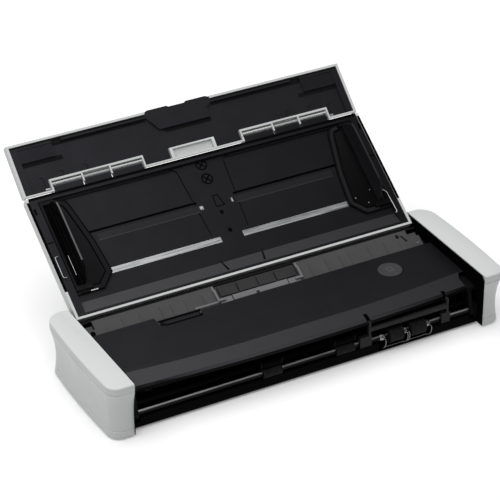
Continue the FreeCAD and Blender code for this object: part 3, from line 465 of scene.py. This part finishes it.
def dense(path, step):
    """The same path with long runs cut into short ones."""
    out = [path[0]]
    for here in path[1:]:
        run = here - out[-1]
        count = max(1, int(run.length / step))
        start = out[-1].copy()
        out += [start + run * (k + 1) / count for k in range(count)]
    return out


def gather(parts):
    """Joins several (points, faces) lists into one."""
    points = []
    faces = []
    for more, shapes in parts:
        base = len(points)
        points += list(more)
        faces += [tuple(base + i for i in face) for face in shapes]
    return points, faces


def around(centre, radius, turn):
    """Point on a circle in the plane of its centre."""
    return centre[0] + radius * math.cos(turn), centre[1] + radius * math.sin(turn)


def disc(u, v, radius, sides=16):
    return [around((u, v), radius, 2 * math.pi * i / sides) for i in range(sides)]


def lathe_x(profile, x, centre, sides=28):
    """Ring turned about an X axis from (dx, radius) pairs that run round its closed section."""
    points = []
    for dx, radius in profile:
        for i in range(sides):
            turn = 2 * math.pi * i / sides
            points.append((x + dx, *around(centre, radius, turn)))
    count = len(profile)
    faces = []
    for k in range(count):
        for i in range(sides):
            j = (i + 1) % sides
            after = (k + 1) % count
            faces.append((k * sides + i, k * sides + j, after * sides + j, after * sides + i))
    return points, faces


def slab(outline, place, low, high):
    """Flat piece from an outline, laid out by the place function between two heights."""
    count = len(outline)
    points = [place(u, v, low) for u, v in outline] + [place(u, v, high) for u, v in outline]
    faces = [tuple(range(count - 1, -1, -1)), tuple(range(count, 2 * count))]
    faces += [(i, (i + 1) % count, count + (i + 1) % count, count + i) for i in range(count)]
    return points, faces


def bar_outline(u0, v0, u1, v1, width):
    along = Vector((u1 - u0, v1 - v0)).normalized() * width / 2
    across = Vector((-along.y, along.x))
    return [(u0 - across.x, v0 - across.y), (u1 - across.x, v1 - across.y),
            (u1 + across.x, v1 + across.y), (u0 + across.x, v0 + across.y)]


def stroke(path, width, place, low, high, closed=False):
    """Flat line of short bars along a list of (u, v) points."""
    ends = path[1:] + path[:1] if closed else path[1:]
    bars = [bar_outline(*first, *second, width) for first, second in zip(path, ends)]
    return [slab(bar, place, low, high) for bar in bars]


def flipped(path):
    return [(-u, v) for u, v in path]


def side_bar(side, u0, v0, u1, v1, width):
    """Bar outline on the left (-1) or right (1) of the middle."""
    return bar_outline(side * u0, v0, side * u1, v1, width)


def ring_mark(u, v, radius, width, place, low, high, sides=28):
    points = []
    for r in (radius - width, radius):
        for z in (low, high):
            for i in range(sides):
                turn = 2 * math.pi * i / sides
                points.append(place(*around((u, v), r, turn), z))
    order = (0, 1, 3, 2)
    faces = []
    for k in range(4):
        first = order[k] * sides
        second = order[(k + 1) % 4] * sides
        for i in range(sides):
            j = (i + 1) % sides
            faces.append((first + i, first + j, second + j, second + i))
    return points, faces


def card_wires():
    """Two round wires bent down in front of the card rollers, drawn on a drum about the shaft."""
    reach = 7.2
    drop = 12.4
    parts = []
    for x0, x1 in ((53.2, 69.6), (70.9, 87.3)):
        corners = [(x0, 0.0, 0.0), (x0, drop, 0.0), (x1, drop, 0.0), (x1, 0.0, 0.0)]
        path = []
        for point in dense(rounded_path(corners, 2.6), 0.8):
            turn = math.radians(152) + point.y / reach
            away = min(reach, 3.4 + 2.0 * point.y)
            path.append(Vector((point.x, *around(EJECT, away, turn))))
        parts.append(tube_along(path, 0.32))
    piece = add_piece("card_wires", *gather(parts), "base", "steel", WIRE_STEEL)
    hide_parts("card_wire_guards")


def card_bosses():
    """Turned collars beside the card rollers, rounded like beads."""
    crown = [(-2.0, 2.05), (-2.0, 2.3), (-1.5, 2.6), (-0.8, 2.75), (0.0, 2.8)]
    crown += [(-dx, radius) for dx, radius in reversed(crown[:-1])]
    parts = [lathe_x(crown, x, EJECT) for x in (53.9, 70.6, 87.2)]
    piece = add_piece("card_collars", *gather(parts), "eject_rotor", "steel", COLLAR_STEEL)
    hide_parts("card_roller_bosses")


def tray_clips():
    """Bent spring wires at the tray's two sides."""
    parts = []
    left = [(-118.2, 44.2), (-120.2, 44.2), (-120.2, 29.4), (-118.2, 29.0)]
    right = [(113.6, 28.6), (115.6, 26.6), (116.4, 10.6), (114.6, 10.2)]
    for outline in (left, right):
        corners = [tray_at(x, s, 0.7) for x, s in outline]
        parts.append(tube_along(dense(rounded_path(corners, 0.9), 1.5), 0.42))
    piece = add_piece("side_wires", *gather(parts), "tray", "steel")
    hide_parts("tray_wire_clips")


def tray_marks():
    """Plain pictograms on the tray's middle: two crossed rings, a sheet outline, a pointer and a dot."""
    low, high = PANEL_N - 0.05, PANEL_N + 0.04
    parts = []
    for u, v in ((1.2, 81.3), (0.9, 70.6)):
        parts.append(ring_mark(u, v, 4.1, 1.0, tray_at, low, high))
        for lean in (1, -1):
            cross = bar_outline(u - 2.1, v - 2.1 * lean, u + 2.1, v + 2.1 * lean, 1.0)
            parts.append(slab(cross, tray_at, low, high))
    sheet = [(-0.9, 58.0), (2.4, 58.0), (4.6, 49.8), (-1.4, 49.8)]
    pointer = [(-0.8, 46.0), (1.6, 46.0), (0.4, 43.8)]
    parts += stroke(sheet, 0.75, tray_at, low, high, True)
    parts += stroke(pointer, 1.0, tray_at, low, high, True)
    parts.append(slab(disc(0.4, 31.6, 1.6), tray_at, low, high))
    add_piece("tray_pictograms", *gather(parts), "tray", "black_plastic", DEEP_BLACK, False)


def tray_steps():
    """Lighter bands below the long slots as painted light on their steps, painted highlights on their
    ridges, and dark strips at the tray's edges.
    """
    low, high = PANEL_N - 0.05, PANEL_N + 0.03
    steps = []
    ridges = []
    dark = []
    for side in (-1, 1):
        steps.append(slab(side_bar(side, 13.6, 51.3, 86.4, 51.3, 4.2), tray_at, low, high))
        ridges.append(slab(side_bar(side, 13.6, 48.95, 86.4, 48.95, 0.5), tray_at, low, high + 0.03))
        dark.append(slab(side_bar(side, 122.1, 20.0, 122.1, 85.4, 1.7), tray_at, -0.05, 0.05))
        dark.append(slab(side_bar(side, 121.0, 54.9, 116.4, 54.9, 0.6), tray_at, -0.05, 0.06))
        dark.append(slab(side_bar(side, 119.6, 76.0, 119.6, 80.0, 1.4), tray_at, -0.05, 0.06))
    add_piece("tray_step_bands", *gather(steps), "tray", "black_plastic", STEP_PAINTED_LIGHT, False)
    add_piece("tray_step_ridges", *gather(ridges), "tray", "black_plastic", RIDGE_HIGHLIGHT, False)
    # Black strip across the tray's top end, under the flap's hinge: painted shade over the white wall.
    dark.append(slab(bar_outline(-120.9, 87.15, 120.9, 87.15, 1.6), tray_at, -0.05, 0.06))
    add_piece("tray_edge_dark_strips", *gather(dark), "tray", "black_plastic", DEEP_BLACK, False)


# Lines on the left document guide: along its rim, along its inner groove and midway between them.
GUIDE_RIM = [(-113.0, 16.5), (-96.4, 16.5), (-87.5, 25.8), (-88.7, 38.0), (-90.0, 49.4),
             (-93.1, 63.9), (-96.1, 77.4), (-97.1, 80.1), (-99.2, 81.8), (-102.5, 82.7)]
GUIDE_INNER = [(-106.0, 20.05), (-98.6, 20.05), (-91.45, 27.2), (-92.65, 38.6), (-93.95, 50.0),
               (-96.95, 63.9), (-99.6, 75.7), (-101.0, 78.5), (-106.0, 79.5)]
GUIDE_MIDDLE = [(-107.0, 17.9), (-97.4, 17.9), (-89.2, 26.4), (-90.4, 38.3), (-91.7, 49.7),
                (-94.7, 64.0), (-97.6, 76.8), (-99.6, 80.5), (-104.0, 81.6)]


def left_guide_details():
    """Black lines and channel on the left document guide as painted shade around its raised rim, in its
    groove and beside its fin; its spring wire and a bright bar.
    """
    body = NODE_BODY["left_guide"]
    parts = stroke(GUIDE_RIM, 0.8, tray_at, GUIDE_N - 0.02, GUIDE_N + 0.05)
    parts += stroke(GUIDE_INNER, 0.8, tray_at, -2.25, -2.12)
    channel = bar_outline(-111.6, 22.2, -111.6, 80.8, 4.0)
    parts.append(slab(channel, tray_at, GUIDE_N - 0.02, GUIDE_N + 0.04))
    add_piece("left_guide_shade_lines", *gather(parts), body, "black_plastic", DEEP_BLACK, False)
    spring = [tray_at(-110.9, s, -0.75) for s in (29.4, 43.6)]
    bar = bar_outline(-106.0, 16.9, -100.8, 16.9, 0.7)
    parts = [tube_along(dense(spring, 2.0), 0.34), slab(bar, tray_at, GUIDE_N + 0.04, GUIDE_N + 0.16)]
    add_piece("left_guide_spring", *gather(parts), body, "steel")


def right_guide_details():
    """Lighter band along the right document guide's rim as painted light, and three small studs."""
    body = NODE_BODY["right_guide"]
    parts = stroke(flipped(GUIDE_MIDDLE), 2.2, tray_at, GUIDE_N - 0.02, GUIDE_N + 0.04)
    add_piece("right_guide_rim", *gather(parts), body, "black_plastic", FIN_BLACK, False)
    studs = ((105.6, 31.6), (100.8, 22.9), (93.2, 28.4))
    parts = [tube_along([tray_at(x, s, -1.6), tray_at(x, s, -0.75)], 0.5) for x, s in studs]
    add_piece("right_guide_studs", *gather(parts), body, "steel")


def fin_edges():
    """Painted highlights along the top edges of the two fins."""
    edge = [(33.0, 12.56), (72.0, 12.56), (75.8, 11.6)]
    for side, name, look in ((-1, "left_fin", FIN_EDGE_HIGHLIGHT), (1, "right_fin", RIDGE_HIGHLIGHT)):
        def on_fin(s, n, depth, side=side):
            return tray_at(side * (FIN_X + depth), s, n)

        parts = stroke(edge, 0.3, on_fin, 0.0, 1.0)
        add_piece(name + "_edge", *gather(parts), NODE_BODY[name], "black_plastic", look, False)


def flap_marks():
    """Paper width ticks on the flap, without letters."""
    parts = []
    for side in (-1, 1):
        for x, s0, s1 in ((105.6, 1.2, 8.4), (91.0, 6.6, 10.2), (74.0, 6.6, 10.2)):
            for bar in (side_bar(side, x, s0, x, s1, 0.5), side_bar(side, x, s1, x + 2.6, s1, 0.5)):
                parts.append(slab(bar, flap_at, 0.25, 0.34))
    add_piece("flap_ticks", *gather(parts), "flap", "black_plastic", MARK_AND_SHADE_BLACK, False)
    # Black bands below the tab, the raised corners and the top ledge, and along the ledge's rim: painted
    # shade.
    parts = [slab([(-15.2, 20.0), (-13.0, 17.2), (20.4, 17.2), (20.4, 20.0)], flap_at, 0.26, 0.36)]
    for side in (-1, 1):
        parts.append(slab(side_bar(side, 87.5, 18.9, 118.5, 18.9, 3.0), flap_at, 0.26, 0.36))
        parts.append(slab(side_bar(side, 24.4, 28.5, 91.6, 28.5, 2.1), flap_at, 0.26, 0.36))
        parts.append(slab(side_bar(side, 24.4, 31.4, 121.0, 31.4, 1.1), flap_at, 1.86, 1.96))
    add_piece("flap_shadow_steps", *gather(parts), "flap", "black_plastic", MARK_AND_SHADE_BLACK, False)


def button_mark():
    """Plain pictogram on the start button: a sheet outline with a bar under it."""
    def on_button(u, v, z):
        return Vector((83.4 + u, 0.9 + v, COVER_Z + z))

    sheet = [(-1.9, -1.0), (1.9, -1.0), (1.9, 2.6), (-1.9, 2.6)]
    parts = stroke(sheet, 0.4, on_button, -0.05, 0.04, True)
    parts.append(slab(bar_outline(-2.9, -2.4, 2.9, -2.4, 0.5), on_button, -0.05, 0.04))
    add_piece("button_pictogram", *gather(parts), "button", "button_plastic", BUTTON_MARK, False)


def top_marks():
    """Plate in the finger notch with a black sheet behind it as painted shadow in the gap, and a bright
    spot at the cover's corner.
    """
    def above(x, y, z):
        return Vector((x, y, z))

    plate = [(-73.6, 16.1), (-73.6, 15.0), (-72.0, 13.2), (-49.6, 13.2), (-48.6, 16.1)]
    shape = slab(plate, above, 30.7, 30.95)
    add_piece("notch_plate", *shape, "top_unit", "cover_plastic", COVER_PLAIN, False)
    gap = [(-76.6, 18.6), (-76.6, 16.3), (-46.8, 16.3), (-46.3, 18.6)]
    shape = slab(gap, above, 30.9, 31.1)
    add_piece("notch_shadow", *shape, "top_unit", "black_plastic", DEEP_BLACK, False)
    spot = bar_outline(116.2, 20.2, 118.0, 20.9, 0.8)
    add_piece("corner_spot", *slab(spot, above, 31.1, 31.6), "top_unit", "grey_plastic", None, False)


def deck_corners():
    """Lower ledges in the deck's rear corners and a black disc at the left as painted shade in a hole."""
    def on_deck(x, y, z):
        return Vector((x, y, DECK_START[1] + DECK_RISE * (y - DECK_START[0]) + z))

    parts = []
    for side in (-1, 1):
        corner = [(115.0, 28.4), (122.3, 28.4), (122.3, 33.0), (115.0, 33.0)]
        parts.append(slab([(side * x, y) for x, y in corner], on_deck, -3.6, -3.0))
    add_piece("deck_ledges", *gather(parts), "base", "deck_plastic", None, False)
    hole = slab(disc(-117.4, 25.8, 1.7), on_deck, -0.1, 0.05)
    add_piece("deck_hole_shade", *hole, "base", "black_plastic", DEEP_BLACK, False)


def cap_wall_shades():
    """Black sheets on the inner walls of both end caps: painted shade where those walls fall in shadow."""
    wall = [(-46.6, 1.6), (46.6, 1.6), (46.6, 35.6), (44.0, 38.3), (-44.0, 38.3), (-46.6, 35.6)]
    parts = []
    for side in (-1, 1):
        parts.append(slab(wall, lambda y, z, depth: Vector((side * depth, y, z)), 124.88, 125.02))
    add_piece("cap_wall_shades", *gather(parts), "base", "black_plastic", DEEP_BLACK, False)


# ---- stage --------------------------------------------------------------------------

CAMERA_AT = Vector((-0.62864, -1.10378, 0.84081))
CAMERA_RIGHT = Vector((0.87588, -0.48252, 0.0))
CAMERA_BACK = Vector((-0.41261, -0.74897, 0.51845))
LENS = 171.33
FLOOR_GLOW = 0.14
SKY_LEVEL = 0.32
OVERHEAD_POWER = 33.5


def make_camera():
    data = bpy.data.cameras.new("camera")
    data.lens = LENS
    data.sensor_width = 36.0
    data.clip_start = 0.05
    data.clip_end = 20.0
    camera = bpy.data.objects.new("camera", data)
    bpy.context.collection.objects.link(camera)
    back = CAMERA_BACK.normalized()
    right = CAMERA_RIGHT.normalized()
    up = back.cross(right)
    turn = Matrix((right, up, back)).transposed()
    camera.matrix_world = Matrix.Translation(CAMERA_AT) @ turn.to_4x4()
    bpy.context.scene.camera = camera


def area_light(name, at, aim, size, power, colour=(1.0, 1.0, 1.0)):
    data = bpy.data.lights.new(name, "AREA")
    data.shape = "RECTANGLE"
    data.size, data.size_y = size
    data.energy = power
    data.color = colour
    light = bpy.data.objects.new(name, data)
    bpy.context.collection.objects.link(light)
    direction = Vector(aim) - Vector(at)
    light.matrix_world = Matrix.Translation(at) @ direction.to_track_quat("-Z", "Y").to_matrix().to_4x4()


def make_stage():
    mesh = bpy.data.meshes.new("floor")
    reach = 4.0
    corners = [(-reach, -reach, 0.0), (reach, -reach, 0.0), (reach, reach, 0.0), (-reach, reach, 0.0)]
    mesh.from_pydata(corners, [], [(0, 1, 2, 3)])
    floor = bpy.data.objects.new("floor", mesh)
    bpy.context.collection.objects.link(floor)
    g = Graph("floor")
    g.link(g.mix(g.spread(g.noise(3.0), 0.0, 1.0), (0.93, 0.93, 0.93), (0.95, 0.95, 0.95)),
           g.shader.inputs["Base Color"])
    g.shader.inputs["Roughness"].default_value = 0.9
    g.shader.inputs["Specular IOR Level"].default_value = 0.1
    g.shader.inputs["Emission Color"].default_value = (1.0, 1.0, 1.0, 1.0)
    g.shader.inputs["Emission Strength"].default_value = FLOOR_GLOW
    floor.data.materials.append(g.material)

    world = bpy.data.worlds.new("studio")
    world.use_nodes = True
    world.node_tree.nodes["Background"].inputs[0].default_value = (1.0, 1.0, 1.0, 1.0)
    world.node_tree.nodes["Background"].inputs[1].default_value = SKY_LEVEL
    bpy.context.scene.world = world
    area_light("overhead", (-0.35, 0.15, 1.6), (0.0, 0.05, 0.0), (2.6, 2.2), OVERHEAD_POWER)
    bpy.context.scene.view_settings.view_transform = "Standard"


make_camera()
make_stage()
dress_nodes()
card_wires()
card_bosses()
tray_clips()
tray_marks()
tray_steps()
left_guide_details()
right_guide_details()
fin_edges()
flap_marks()
button_mark()
top_marks()
deck_corners()
cap_wall_shades()
